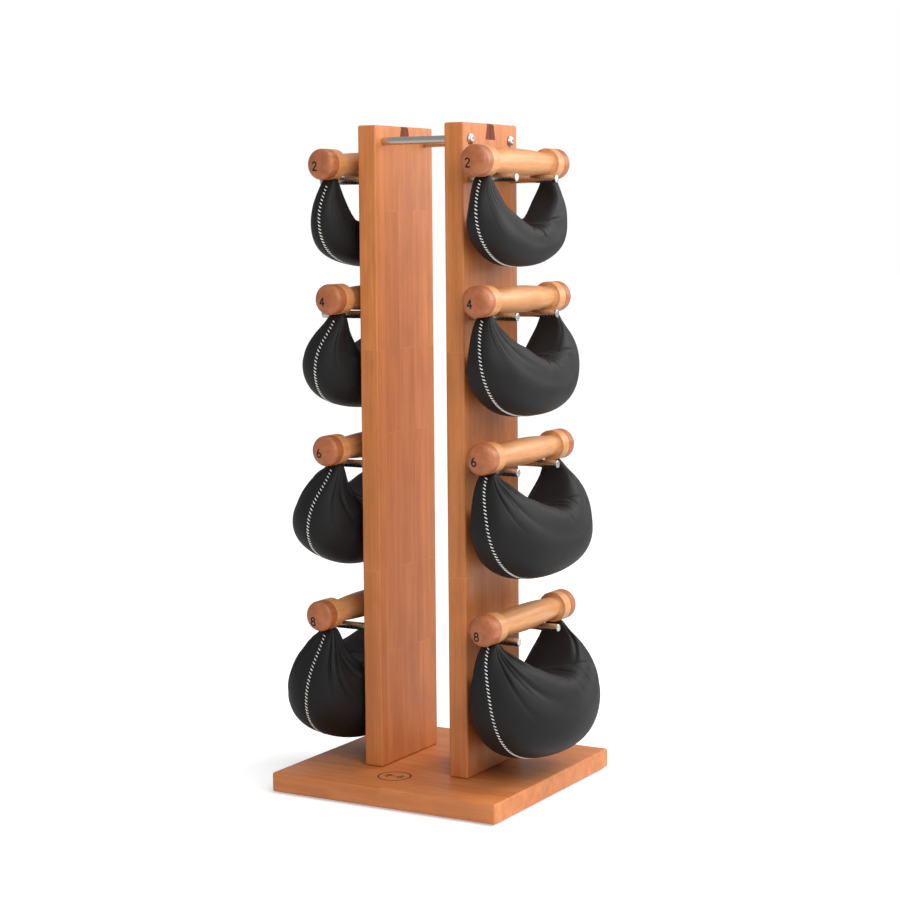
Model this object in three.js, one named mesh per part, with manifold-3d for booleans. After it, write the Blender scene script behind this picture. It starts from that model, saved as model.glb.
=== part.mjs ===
// A wooden rack for eight hand weights. Two upright boards stand on a base plate and are tied near the top
// by two steel crossbars. Each board carries four weights on its outer face, and each weight is a turned
// wooden handle with a leather pouch of steel shot hanging from its two ends. A handle lies on two pins.
// Millimetres, +Z up, +X from the left board to the right one, origin at the centre of the footprint.
import * as THREE from 'three';
import { mergeVertices } from 'three/addons/utils/BufferGeometryUtils.js';
import Module from 'manifold-3d';

const wasm = await Module();
wasm.setup();

// ---- Driving dimensions -------------------------------------------------------------------------------
const TOTAL_HEIGHT = 1020;
const GAP = 0.3; // left between pieces that touch

const FOOT = { radius: 16, height: 2.7, inset: 32 };
const BASE = { width: 390, depth: 378, thickness: 30, edge: 3 };
const BOARD = { thickness: 32, depth: 170, edge: 3, innerFace: 59.5 };
const KEY = { topWidth: 20, bottomWidth: 31, height: 24 };
const BAR = { radius: 6, spread: 62, belowTop: 24, threadRadius: 3, threadDepth: 20 };
const BAR_BOLT = { headRadius: 8.5, domeHeight: 4.5, rim: 1, socketRadius: 2.4, socketDepth: 2.5, grip: 14 };
const BASE_BOLT = { radius: 4, headRadius: 8, headHeight: 4.5, length: 78, spread: 45 };
const PIN = {
  radius: 6, reach: 80, seat: 24, spread: 64, chamfer: 0.8, heights: { 2: 937.3, 4: 733, 6: 502, 8: 247.2 },
};
const HANDLE = {
  length: 274, endRadius: 23.5, dome: 9, endLength: 43, shoulder: 9, gripMiddle: 20.4, gripEnd: 16,
};
const LEATHER = 3; // thickness of the pouch wall
const NECK = { outer: 111, inner: 91.5, halfWidth: 15, top: -24 }; // where a pouch meets its handle's end

// One pouch size for each weight, in the handle's frame: how deep it hangs, how far it bulges past its
// necks, how deep the hand gap is, half its thickness across, and how far its middle rests from its board.
const POUCH = {
  2: { depth: 156, bulge: 34, gap: 83, half: 41, rest: 47 },
  4: { depth: 177, bulge: 42, gap: 78, half: 56, rest: 55 },
  6: { depth: 193, bulge: 46, gap: 81, half: 65, rest: 66 },
  8: { depth: 214, bulge: 48, gap: 81, half: 77, rest: 69 },
};
// How full a pouch's curves are: powers of the sine or cosine of the turn along it.
const FULLNESS = { shoulder: 0.91, belly: 1.1, fold: 1.3, width: 0.97, section: 0.85 };
const RESTING_DEPTH = 0.55; // the share of its depth at which a pouch touches its board

// How far each handle's axis lies from its board's outer face, and how far it has been put off centre.
const BELLS = [
  { side: 'right', kg: 2, standOff: 44.5, along: 0 },
  { side: 'right', kg: 4, standOff: 45, along: 2 },
  { side: 'right', kg: 6, standOff: 48.5, along: 5 },
  { side: 'right', kg: 8, standOff: 50, along: 6 },
  { side: 'left', kg: 2, standOff: 41, along: 6 },
  { side: 'left', kg: 4, standOff: 32, along: 8 },
  { side: 'left', kg: 6, standOff: 40, along: 6 },
  { side: 'left', kg: 8, standOff: 50, along: -2 },
];

const DENSITY = { wood: 600, leather: 900, shot: 7200 }; // kg per cubic metre

// ---- Sizes that follow --------------------------------------------------------------------------------
const baseBottom = FOOT.height + GAP;
const baseTop = baseBottom + BASE.thickness;
const boardBottom = baseTop + GAP;
const outerFace = BOARD.innerFace + BOARD.thickness;
const boardCentre = BOARD.innerFace + BOARD.thickness / 2;
const barHeight = TOTAL_HEIGHT - BAR.belowTop;
const SIDES = { left: -1, right: 1 };
const ENDS = { front: -1, rear: 1 };

// ---- Finishes -----------------------------------------------------------------------------------------
const FINISH = {
  cherry: { color: 0xb9703f, roughness: 0.45, metalness: 0 },
  walnut: { color: 0x4a2c1c, roughness: 0.5, metalness: 0 },
  steel: { color: 0xb9b8b4, roughness: 0.28, metalness: 1 },
  zinc: { color: 0x8f9194, roughness: 0.45, metalness: 1 },
  leather: { color: 0x2b2b2b, roughness: 0.55, metalness: 0 },
  felt: { color: 0x3a3835, roughness: 0.95, metalness: 0 },
};

const rack = new THREE.Group();

function addPiece(parent, name, geometry, finish) {
  const mesh = new THREE.Mesh(geometry, new THREE.MeshStandardMaterial(FINISH[finish]));
  mesh.name = name;
  parent.add(mesh);
  return mesh;
}

// ---- Solids -------------------------------------------------------------------------------------------
function toManifold(geometry) {
  const bare = geometry.clone();
  bare.deleteAttribute('normal');
  bare.deleteAttribute('uv');
  const merged = mergeVertices(bare, 1e-4);
  return new wasm.Manifold(new wasm.Mesh({
    numProp: 3,
    vertProperties: new Float32Array(merged.attributes.position.array),
    triVerts: new Uint32Array(merged.index.array),
  }));
}

function toGeometry(manifold) {
  const { vertProperties, triVerts } = manifold.getMesh();
  const geometry = new THREE.BufferGeometry();
  geometry.setAttribute('position', new THREE.BufferAttribute(new Float32Array(vertProperties), 3));
  geometry.setIndex(new THREE.BufferAttribute(new Uint32Array(triVerts), 1));
  return geometry;
}

function cutAway(geometry, cutters) {
  return toGeometry(cutters.reduce((solid, cutter) => solid.subtract(toManifold(cutter)), toManifold(geometry)));
}

// A round solid on the X axis from a list of [distance along X, radius].
function turned(profile, sides) {
  const points = profile.map(([along, radius]) => new THREE.Vector2(radius, along));
  return new THREE.LatheGeometry(points, sides).rotateZ(-Math.PI / 2);
}

// A plank standing on z = 0 with rounded corners and edges.
function plank(width, depth, height, edge) {
  const [x, y] = [width / 2 - edge, depth / 2 - edge];
  const outline = new THREE.Shape();
  const inset = edge / 2; // the bevel adds this much back
  const radius = edge - inset;
  outline.absarc(x, y, radius, 0, Math.PI / 2);
  outline.absarc(-x, y, radius, Math.PI / 2, Math.PI);
  outline.absarc(-x, -y, radius, Math.PI, Math.PI * 1.5);
  outline.absarc(x, -y, radius, Math.PI * 1.5, Math.PI * 2);
  const settings = {
    depth: height - 2 * inset, curveSegments: 2, bevelThickness: inset, bevelSize: inset, bevelSegments: 1,
  };
  return new THREE.ExtrudeGeometry(outline, settings).translate(0, 0, inset);
}

// A straight round hole or rod along X from one place to another.
function rodAlongX(radius, from, to, y, z, sides = 12) {
  return turned([[from, 0], [from, radius], [to, radius], [to, 0]], sides).translate(0, y, z);
}

// ---- Base plate, feet and the bolts that hold the boards ------------------------------------------------
function baseBolt(clearance) {
  const head = BASE_BOLT.headRadius + clearance;
  const shank = BASE_BOLT.radius + clearance;
  const profile = [
    [-clearance, 0], [-clearance, head], [BASE_BOLT.headHeight, shank],
    [BASE_BOLT.length + clearance, shank], [BASE_BOLT.length + clearance, 0],
  ];
  return turned(profile, 12).rotateY(-Math.PI / 2);
}

const baseBoltPlaces = Object.entries(SIDES).flatMap(([side, sx]) => (
  Object.entries(ENDS).map(([end, sy]) => ({
    name: `base_bolt_${side}_${end}`, x: sx * boardCentre, y: sy * BASE_BOLT.spread,
  }))
));
const baseBoltZ = baseBottom + GAP;

function makeBase() {
  const plate = plank(BASE.width, BASE.depth, BASE.thickness, BASE.edge).translate(0, 0, baseBottom);
  const holes = baseBoltPlaces.map(({ x, y }) => baseBolt(GAP).translate(x, y, baseBoltZ));
  addPiece(rack, 'base_plate', cutAway(plate, holes), 'cherry');
  for (const { name, x, y } of baseBoltPlaces) {
    addPiece(rack, name, baseBolt(0), 'zinc').position.set(x, y, baseBoltZ);
  }
  for (const [side, sx] of Object.entries(SIDES)) {
    for (const [end, sy] of Object.entries(ENDS)) {
      const pad = turned([[0, 0], [0, FOOT.radius], [FOOT.height, FOOT.radius], [FOOT.height, 0]], 16);
      const foot = addPiece(rack, `foot_${end}_${side}`, pad.rotateY(-Math.PI / 2), 'felt');
      foot.position.set(sx * (BASE.width / 2 - FOOT.inset), sy * (BASE.depth / 2 - FOOT.inset), 0);
    }
  }
}

// ---- Boards, their dovetail keys, the crossbars and their bolts ------------------------------------------
// The dovetail key is narrower at the top, so it can't lift out.
function keySolid(clearance, thickness) {
  const [top, bottom] = [KEY.topWidth / 2 + clearance, KEY.bottomWidth / 2 + clearance];
  const outline = new THREE.Shape([
    new THREE.Vector2(-bottom, -KEY.height - clearance), new THREE.Vector2(bottom, -KEY.height - clearance),
    new THREE.Vector2(top, clearance), new THREE.Vector2(-top, clearance),
  ]);
  const solid = new THREE.ExtrudeGeometry(outline, { depth: thickness, bevelEnabled: false });
  return solid.translate(0, 0, -thickness / 2).rotateX(Math.PI / 2).rotateZ(Math.PI / 2);
}

function makeBoard(side) {
  const sx = SIDES[side];
  const height = TOTAL_HEIGHT - boardBottom;
  const blank = plank(BOARD.thickness, BOARD.depth, height, BOARD.edge).translate(sx * boardCentre, 0, boardBottom);
  const cutters = [keySolid(GAP, BOARD.thickness + 2).translate(sx * boardCentre, 0, TOTAL_HEIGHT)];
  for (const sy of Object.values(ENDS)) {
    for (const z of Object.values(PIN.heights)) {
      const seat = sx * (outerFace - PIN.seat - GAP);
      const hole = [seat, sx * (outerFace + 1)].sort((a, b) => a - b);
      cutters.push(rodAlongX(PIN.radius + GAP, ...hole, sy * PIN.spread, z));
    }
    const through = [sx * (BOARD.innerFace - 1), sx * (outerFace + 1)].sort((a, b) => a - b);
    cutters.push(rodAlongX(BAR.threadRadius + GAP, ...through, sy * BAR.spread, barHeight));
    cutters.push(baseBolt(GAP).translate(sx * boardCentre, sy * BASE_BOLT.spread, baseBoltZ));
  }
  addPiece(rack, `upright_${side}`, cutAway(blank, cutters), 'cherry');
  addPiece(rack, `key_${side}`, keySolid(0, BOARD.thickness), 'walnut').position.set(sx * boardCentre, 0, TOTAL_HEIGHT);
}

// A bar has a threaded hole in each end.
function makeCrossbar(end) {
  const half = BOARD.innerFace - GAP;
  const bottom = half - BAR.threadDepth;
  const hole = BAR.threadRadius + GAP;
  const profile = [
    [-bottom, 0], [-bottom, hole], [-half, hole], [-half, BAR.radius],
    [half, BAR.radius], [half, hole], [bottom, hole], [bottom, 0],
  ];
  const bar = addPiece(rack, `crossbar_${end}`, turned(profile, 16), 'steel');
  bar.position.set(0, ENDS[end] * BAR.spread, barHeight);
}

// The bolt's head lies on the board's outer face, and its shank runs through into the bar.
function makeBarBolt(side, end) {
  const { headRadius, domeHeight, rim, socketRadius, socketDepth, grip } = BAR_BOLT;
  const crown = domeHeight + GAP;
  const profile = [
    [-BOARD.thickness - grip, 0], [-BOARD.thickness - grip, BAR.threadRadius], [GAP, BAR.threadRadius],
    [GAP, headRadius], [rim + GAP, headRadius], [crown * 0.7, headRadius * 0.72], [crown, socketRadius + 1.2],
    [crown, socketRadius], [crown - socketDepth, socketRadius], [crown - socketDepth, 0],
  ];
  const bolt = addPiece(rack, `crossbar_bolt_${side}_${end}`, turned(profile, 16), 'steel');
  bolt.rotation.z = side === 'left' ? Math.PI : 0;
  bolt.position.set(SIDES[side] * outerFace, ENDS[end] * BAR.spread, barHeight);
}

function makePins(side) {
  for (const [kg, z] of Object.entries(PIN.heights)) {
    for (const [end, sy] of Object.entries(ENDS)) {
      const { radius, reach, seat, chamfer } = PIN;
      const profile = [[-seat, 0], [-seat, radius], [reach - chamfer, radius], [reach, radius - chamfer], [reach, 0]];
      const pin = addPiece(rack, `pin_${side}_${kg}kg_${end}`, turned(profile, 12), 'steel');
      pin.rotation.z = side === 'left' ? Math.PI : 0;
      pin.position.set(SIDES[side] * outerFace, sy * PIN.spread, z);
    }
  }
}

// ---- Hand weights -------------------------------------------------------------------------------------
function gripRadius(along) {
  const halfGrip = HANDLE.length / 2 - HANDLE.endLength - HANDLE.shoulder;
  const { gripMiddle, gripEnd } = HANDLE;
  return gripEnd + (gripMiddle - gripEnd) * Math.cos((Math.PI / 2) * Math.min(1, Math.abs(along) / halfGrip));
}

// Half of the handle's profile, from its middle to the end of its dome. It is a quarter ellipse at the end.
function handleProfile() {
  const half = HANDLE.length / 2;
  const endStart = half - HANDLE.endLength;
  const gripEnd = endStart - HANDLE.shoulder;
  const { endRadius, dome } = HANDLE;
  const profile = [[0, gripRadius(0)], [gripEnd / 2, gripRadius(gripEnd / 2)], [gripEnd, gripRadius(gripEnd)]];
  profile.push([endStart - HANDLE.shoulder * 0.45, endRadius - 2.2], [endStart, endRadius]);
  for (const turn of [0, 0.2, 0.45, 0.72]) {
    const angle = (turn * Math.PI) / 2;
    profile.push([half - dome + dome * Math.sin(angle), endRadius * Math.cos(angle) ** 0.6]);
  }
  profile.push([half, 0]);
  return profile;
}

function handleSolid() {
  const half = handleProfile();
  const mirrored = half.slice(1).reverse().map(([along, radius]) => [-along, radius]);
  return turned([...mirrored, ...half], 16).rotateZ(Math.PI / 2);
}

// The pouch rests on its board, so it leans out by what the handle's stand-off lacks of its resting place.
function leanAngle({ kg, standOff }) {
  const { rest, depth } = POUCH[kg];
  return Math.atan((rest - standOff) / (RESTING_DEPTH * depth));
}

// One point of a pouch, in the handle's frame, with +X away from the board. turn goes from 0 at the front
// neck to pi at the rear one. The outer edge is a deep U that bulges past the necks, the inner edge is the
// hand gap's V, and round is the angle about the middle line between them. The pouch is turned about the
// handle by its lean, and it is flat where it would otherwise pass the board. The options shrink its
// section for the inside of the leather, and for the shot that lies against the outer edge.
function pouchPoint(bell, turn, round, { inset = 0, share = 1 } = {}) {
  const { depth, bulge, gap, half } = POUCH[bell.kg];
  const [sine, cosine] = [Math.max(0, Math.sin(turn)), Math.cos(turn)];
  const side = Math.sign(cosine);
  const outer = new THREE.Vector2(
    -(NECK.outer * side * Math.abs(cosine) ** FULLNESS.shoulder + bulge * Math.sin(2 * turn)),
    NECK.top - (depth + NECK.top) * sine ** FULLNESS.belly,
  );
  const inner = new THREE.Vector2(-NECK.inner * cosine, NECK.top - (gap + NECK.top) * sine ** FULLNESS.fold);
  const towardsOuter = outer.clone().sub(inner);
  const height = towardsOuter.length() / 2 - inset;
  towardsOuter.normalize();
  const centre = outer.clone().addScaledVector(towardsOuter, -inset - height * share);
  const width = (NECK.halfWidth + (half - NECK.halfWidth) * sine ** FULLNESS.width - inset) * share;
  const place = centre.addScaledVector(towardsOuter, height * share * Math.cos(round));
  const across = width * Math.sign(Math.sin(round)) * Math.abs(Math.sin(round)) ** FULLNESS.section;
  const lean = leanAngle(bell);
  const point = new THREE.Vector3(
    across * Math.cos(lean) - place.y * Math.sin(lean), place.x,
    place.y * Math.cos(lean) + across * Math.sin(lean),
  );
  point.x = Math.max(point.x, -bell.standOff + 1 + inset);
  return point;
}

const POUCH_GRID = { along: 14, around: 12, emptyEnds: 2 };

// Rings of points along a pouch, without the given number of rings at each end.
function pouchGrid(bell, left, options) {
  const { along, around } = POUCH_GRID;
  return Array.from({ length: along + 1 - 2 * left }, (_, i) => (
    Array.from({ length: around }, (_, j) => (
      pouchPoint(bell, (Math.PI * (i + left)) / along, (2 * Math.PI * j) / around, options)
    ))
  ));
}

// A closed body from rings of points: walls between neighbouring rings, and either both ends closed by a
// point, or the last ring joined to the first.
function bodyFromRings(rings, closedLoop) {
  const around = rings[0].length;
  const vertices = rings.flat();
  const faces = [];
  const pairs = closedLoop ? rings.length : rings.length - 1;
  for (let i = 0; i < pairs; i += 1) {
    const [low, high] = [i * around, ((i + 1) % rings.length) * around];
    for (let j = 0; j < around; j += 1) {
      const next = (j + 1) % around;
      faces.push(low + j, high + j, high + next, low + j, high + next, low + next);
    }
  }
  if (!closedLoop) {
    for (const [ring, flip] of [[0, true], [rings.length - 1, false]]) {
      const middle = rings[ring].reduce((sum, p) => sum.add(p), new THREE.Vector3()).divideScalar(around);
      vertices.push(middle);
      for (let j = 0; j < around; j += 1) {
        const [a, b] = [ring * around + j, ring * around + ((j + 1) % around)];
        faces.push(vertices.length - 1, ...(flip ? [a, b] : [b, a]));
      }
    }
  }
  const geometry = new THREE.BufferGeometry();
  const flat = new Float32Array(vertices.flatMap((p) => [p.x, p.y, p.z]));
  geometry.setAttribute('position', new THREE.BufferAttribute(flat, 3));
  geometry.setIndex(volumeOf(geometry, faces) < 0 ? faces.reverse() : faces);
  return geometry;
}

// The volume inside a closed surface: a sixth of each face's triple product, summed.
function volumeOf(geometry, faces = Array.from(geometry.index.array)) {
  const corner = (i) => new THREE.Vector3().fromBufferAttribute(geometry.attributes.position, faces[i]);
  let sum = 0;
  for (let i = 0; i < faces.length; i += 3) {
    sum += corner(i).dot(corner(i + 1).cross(corner(i + 2)));
  }
  return sum / 6;
}

// The leather is a bag that is open at both necks, so its outside and its inside are one closed loop.
function leatherSolid(bell) {
  const outside = pouchGrid(bell, 0);
  const inside = pouchGrid(bell, 0, { inset: LEATHER }).reverse();
  return bodyFromRings([...outside, ...inside], true);
}

// The shot fills the bag's lower part. Its section is as large as the bell's weight asks for.
function shotSolid(bell, woodAndLeather) {
  const wanted = ((bell.kg - woodAndLeather) / DENSITY.shot) * 1e9;
  const solidOf = (share) => (
    bodyFromRings(pouchGrid(bell, POUCH_GRID.emptyEnds, { inset: LEATHER + 0.8, share }), false)
  );
  let [low, high] = [0.1, 0.95];
  for (let step = 0; step < 20; step += 1) {
    const middle = (low + high) / 2;
    if (volumeOf(solidOf(middle)) < wanted) low = middle;
    else high = middle;
  }
  return solidOf(low);
}

function makeBell(bell) {
  const label = `${bell.side}_${bell.kg}kg`;
  const group = new THREE.Group();
  // The barrel rests on the pin that lies nearer its middle, where it is thicker.
  const resting = gripRadius(PIN.spread - Math.abs(bell.along));
  const height = PIN.heights[bell.kg] + PIN.radius + GAP + resting;
  group.position.set(SIDES[bell.side] * (outerFace + bell.standOff), bell.along, height);
  rack.add(group);

  const handle = handleSolid();
  const leather = leatherSolid(bell);
  const woodAndLeather = (volumeOf(handle) * DENSITY.wood + volumeOf(leather) * DENSITY.leather) / 1e9;
  const shot = shotSolid(bell, woodAndLeather);
  // +X of a pouch points away from its board, so on the left board it is turned half round.
  const facing = bell.side === 'left' ? Math.PI : 0;
  addPiece(group, `handle_${label}`, handle, 'cherry');
  addPiece(group, `pouch_${label}`, leather, 'leather').rotation.z = facing;
  addPiece(group, `shot_${label}`, shot, 'zinc').rotation.z = facing;
}

makeBase();
Object.keys(SIDES).forEach(makeBoard);
Object.keys(ENDS).forEach(makeCrossbar);
Object.keys(SIDES).forEach((side) => Object.keys(ENDS).forEach((end) => makeBarBolt(side, end)));
Object.keys(SIDES).forEach(makePins);
BELLS.forEach(makeBell);

export default rack;
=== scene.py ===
"""The looks of a wooden tower rack for eight hand weights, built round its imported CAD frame.

Two cherry boards stand on a base plate. Each carries four weights on steel pins, and each weight is a turned
cherry handle with a black leather pouch of steel shot sewn along its outer edge. Every place comes from the
frame, and shapes are worked out in millimetres, in the row's own frame: +Z up, +X to the right board.
"""

import logging
import math
from dataclasses import dataclass
from enum import Enum
from typing import Callable, Sequence

import bpy
import numpy as np
from mathutils import Matrix, Vector


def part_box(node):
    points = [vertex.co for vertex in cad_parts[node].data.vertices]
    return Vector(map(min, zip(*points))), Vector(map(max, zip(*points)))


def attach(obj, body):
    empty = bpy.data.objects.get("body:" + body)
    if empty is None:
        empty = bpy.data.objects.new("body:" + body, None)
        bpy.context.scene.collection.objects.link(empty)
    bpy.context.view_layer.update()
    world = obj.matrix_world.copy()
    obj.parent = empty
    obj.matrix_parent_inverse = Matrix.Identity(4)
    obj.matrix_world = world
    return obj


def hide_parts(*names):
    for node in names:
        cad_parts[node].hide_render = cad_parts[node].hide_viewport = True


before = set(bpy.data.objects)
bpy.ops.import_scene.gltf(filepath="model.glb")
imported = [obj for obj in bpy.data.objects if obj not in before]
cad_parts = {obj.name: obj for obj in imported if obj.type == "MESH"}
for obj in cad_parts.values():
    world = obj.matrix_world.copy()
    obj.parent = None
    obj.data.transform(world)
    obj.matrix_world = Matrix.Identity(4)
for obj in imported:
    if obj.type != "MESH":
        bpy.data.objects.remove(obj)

log = logging.getLogger("weight_tower")
MM = 0.001
TURN = 2 * math.pi
Array = np.ndarray
Numbers = tuple[float, ...]
Object = bpy.types.Object
Material = bpy.types.Material


# ---- Sides, ends and places ------------------------------------------------------------------------------
class Side(Enum):
    """A board's side of the tower, with the direction in X that points away from the tower's middle."""

    LEFT = -1
    RIGHT = 1

    @property
    def label(self) -> str:
        """The side's word in the names of nodes."""
        return self.name.lower()


class End(Enum):
    """The front or the rear of a board, with its direction in Y."""

    FRONT = -1
    REAR = 1

    @property
    def label(self) -> str:
        """The end's word in the names of nodes."""
        return self.name.lower()


class Weight(Enum):
    """The four weights of hand weight, in kilograms."""

    TWO = 2
    FOUR = 4
    SIX = 6
    EIGHT = 8


@dataclass(frozen=True)
class Place:
    """The box that a CAD node fills at rest, in millimetres."""

    low: Array
    high: Array

    @classmethod
    def of(cls, node: str) -> "Place":
        """Reads a node's box from the frame.

        Args:
            node: the CAD node's name.
        Returns:
            Its place in millimetres.
        """
        low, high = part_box(node)
        return cls(np.array(low) / MM, np.array(high) / MM)

    @property
    def centre(self) -> Array:
        """The middle of the box."""
        return (self.low + self.high) / 2

    @property
    def size(self) -> Array:
        """The box's three sides."""
        return self.high - self.low


# ---- Meshes ----------------------------------------------------------------------------------------------
class Skin:
    """Closed patches of surface, in millimetres, that become one mesh."""

    def __init__(self) -> None:
        """Starts with no surface."""
        self.vertices: list[Array] = []
        self.quads: list[Array] = []
        self.triangles: list[Array] = []
        self.count = 0

    def add_tube(self, rings: Array, ends: tuple[Array, Array] | None = None) -> "Skin":
        """Adds one tube or many tubes of the same grid, each closed by a fan at both ends.

        Args:
            rings: points of shape (..., rings, points round a ring, 3).
            ends: the fans' middles, each of shape (..., 3). Without them a fan meets at its ring's mean.
        Returns:
            The skin itself.
        """
        rows, around = rings.shape[-3:-1]
        tubes = rings.reshape(-1, rows, around, 3)
        start, end = ends if ends else (tubes[:, 0].mean(axis=1), tubes[:, -1].mean(axis=1))
        fans = np.stack([np.reshape(start, (-1, 3)), np.reshape(end, (-1, 3))], axis=1)
        block = rows * around + 2
        first = self.count + block * np.arange(len(tubes))
        index = np.arange(rows * around).reshape(rows, around)
        beside = np.roll(index, -1, axis=1)
        quads = np.stack([index[:-1], beside[:-1], beside[1:], index[1:]], axis=-1).reshape(-1, 4)
        poles = np.full(around, rows * around)
        fan = np.concatenate([
            np.stack([poles, beside[0], index[0]], axis=-1),
            np.stack([poles + 1, index[-1], beside[-1]], axis=-1),
        ])
        self.vertices.append(np.concatenate([tubes.reshape(len(tubes), -1, 3), fans], axis=1).reshape(-1, 3))
        self.quads.append((first[:, None, None] + quads).reshape(-1, 4))
        self.triangles.append((first[:, None, None] + fan).reshape(-1, 3))
        self.count += block * len(tubes)
        return self

    def add_loop(self, rings: Array) -> "Skin":
        """Adds a ring-shaped tube whose last section joins its first.

        Args:
            rings: points of shape (sections, points round a section, 3).
        Returns:
            The skin itself.
        """
        index = np.arange(rings[..., 0].size).reshape(rings.shape[:2]) + self.count
        ahead, beside = np.roll(index, -1, axis=0), np.roll(index, -1, axis=1)
        quads = np.stack([index, beside, np.roll(beside, -1, axis=0), ahead], axis=-1)
        self.vertices.append(rings.reshape(-1, 3))
        self.quads.append(quads.reshape(-1, 4))
        self.count += index.size
        return self

    def make(self, name: str, crease_degrees: float = 40.0) -> Object:
        """Makes the mesh object, with its faces pointing out and its sharp edges marked.

        The signed volume is a sixth of the sum of each triangle's triple product. If it is negative the
        faces point inwards, and every face is turned round.

        Args:
            name: the piece's name.
            crease_degrees: edges that turn by more than this are shaded sharp.
        Returns:
            The object, at the origin, with its place in its mesh.
        """
        vertices = np.concatenate(self.vertices)
        quads = np.concatenate(self.quads or [np.empty((0, 4), int)])
        triangles = np.concatenate(self.triangles or [np.empty((0, 3), int)])
        split = np.concatenate([quads[:, [0, 1, 2]], quads[:, [0, 2, 3]], triangles])
        corners = vertices[split] - vertices.mean(axis=0)
        if np.einsum("ij,ij->i", corners[:, 0], np.cross(corners[:, 1], corners[:, 2])).sum() < 0:
            quads, triangles = quads[:, ::-1], triangles[:, ::-1]
        sizes = np.concatenate([np.full(len(quads), 4), np.full(len(triangles), 3)])
        mesh = bpy.data.meshes.new(name)
        mesh.vertices.add(len(vertices))
        mesh.vertices.foreach_set("co", (vertices * MM).astype(np.float32).ravel())
        mesh.loops.add(int(sizes.sum()))
        order = np.concatenate([quads.ravel(), triangles.ravel()])
        mesh.loops.foreach_set("vertex_index", order.astype(np.int32))
        mesh.polygons.add(len(sizes))
        mesh.polygons.foreach_set("loop_start", (np.cumsum(sizes) - sizes).astype(np.int32))
        mesh.polygons.foreach_set("use_smooth", np.ones(len(sizes), bool))
        mesh.update(calc_edges=True)
        mesh.validate()
        mesh.set_sharp_from_angle(angle=math.radians(crease_degrees))
        piece = bpy.data.objects.new(name, mesh)
        bpy.context.scene.collection.objects.link(piece)
        return piece


class Axis(Enum):
    """The line that a turned piece lies along, with the rows that send (along, across, up) to X, Y and Z."""

    X = ((1, 0, 0), (0, 1, 0), (0, 0, 1))
    Y = ((0, -1, 0), (1, 0, 0), (0, 0, 1))
    Z = ((0, 0, -1), (0, 1, 0), (1, 0, 0))


def turned(name: str, profile: Sequence[Numbers], centre: Array, axis: Axis, sides: int = 40,
           facing: int = 1) -> Object:
    """Turns a profile about a straight axis, as on a lathe.

    A point at angle a on the ring of a profile point (along, radius) lies at along on the axis, and at
    radius times the cosine and the sine of a across it. The profile starts and ends on the axis.

    Args:
        name: the piece's name.
        profile: points of (distance along the axis, radius).
        centre: where distance 0 on the axis lies.
        axis: the direction of the axis.
        sides: how many points a ring has.
        facing: 1 or -1, which way along the axis the profile runs.
    Returns:
        The finished object.
    """
    along, radius = np.array(profile, float).T
    angle = np.arange(sides) * TURN / sides
    rings = np.stack(np.broadcast_arrays(
        facing * along[:, None], radius[:, None] * np.cos(angle), radius[:, None] * np.sin(angle),
    ), axis=-1) @ np.array(axis.value, float).T + centre
    return Skin().add_tube(rings[1:-1], (rings[0, 0], rings[-1, 0])).make(name)


def rounded(corners: Sequence[Numbers], radii: Sequence[float], steps: int = 5) -> list[Numbers]:
    """Rounds the corners of a profile with short arcs.

    Each arc is the quadratic curve that leaves one side a radius before the corner and joins the next side
    a radius after it, with the corner as its control point.

    Args:
        corners: the profile's points of (along, radius).
        radii: how far from each corner its arc starts. 0 leaves the corner sharp.
        steps: how many points an arc has.
    Returns:
        The points of the rounded profile.
    """
    points: list[Numbers] = []
    places = np.array(corners, float)
    for i, (corner, radius) in enumerate(zip(places, radii)):
        if radius <= 0:
            points.append(tuple(corner))
            continue
        before, after = places[i - 1] - corner, places[i + 1] - corner
        start = corner + before / np.linalg.norm(before) * radius
        end = corner + after / np.linalg.norm(after) * radius
        s = np.linspace(0, 1, steps)[:, None]
        arc = start * (1 - s) ** 2 + corner * 2 * s * (1 - s) + end * s ** 2
        points.extend(tuple(p) for p in arc)
    return points


def unit(vectors: Array) -> Array:
    """Scales vectors to a length of one."""
    return vectors / np.linalg.norm(vectors, axis=-1, keepdims=True)


def bell(value: Array) -> Array:
    """A bell curve: e to the power of minus the value's square, which is 1 at 0 and near 0 past 2."""
    return np.exp(-(value ** 2))


# ---- Finishes --------------------------------------------------------------------------------------------
def linear(colour: str) -> Numbers:
    """Turns an sRGB hex colour to linear RGBA.

    Each channel up to 0.04045 is divided by 12.92, and above it is ((c + 0.055) / 1.055) to the power 2.4.

    Args:
        colour: such as "#b9703f".
    Returns:
        Four numbers, the last of them 1.
    """
    channels = [int(colour[i:i + 2], 16) / 255 for i in (1, 3, 5)]
    return (*(c / 12.92 if c <= 0.04045 else ((c + 0.055) / 1.055) ** 2.4 for c in channels), 1.0)


class Nodes:
    """The node tree of one material."""

    def __init__(self, material: Material) -> None:
        """Empties the material's tree and keeps it."""
        material.use_nodes = True
        self.tree = material.node_tree
        self.tree.nodes.clear()

    def add(self, kind: str, sockets: dict | None = None, **settings: object) -> bpy.types.Node:
        """Adds one node with its settings and links.

        Args:
            kind: the node's type without the prefix ShaderNode.
            sockets: for each input, by name or number, a value, or another node's output to link.
            settings: the node's own properties.
        Returns:
            The new node.
        """
        node = self.tree.nodes.new("ShaderNode" + kind)
        for key, value in settings.items():
            setattr(node, key, value)
        for key, value in (sockets or {}).items():
            if isinstance(value, bpy.types.NodeSocket):
                self.tree.links.new(value, node.inputs[key])
            else:
                node.inputs[key].default_value = value
        return node


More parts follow.
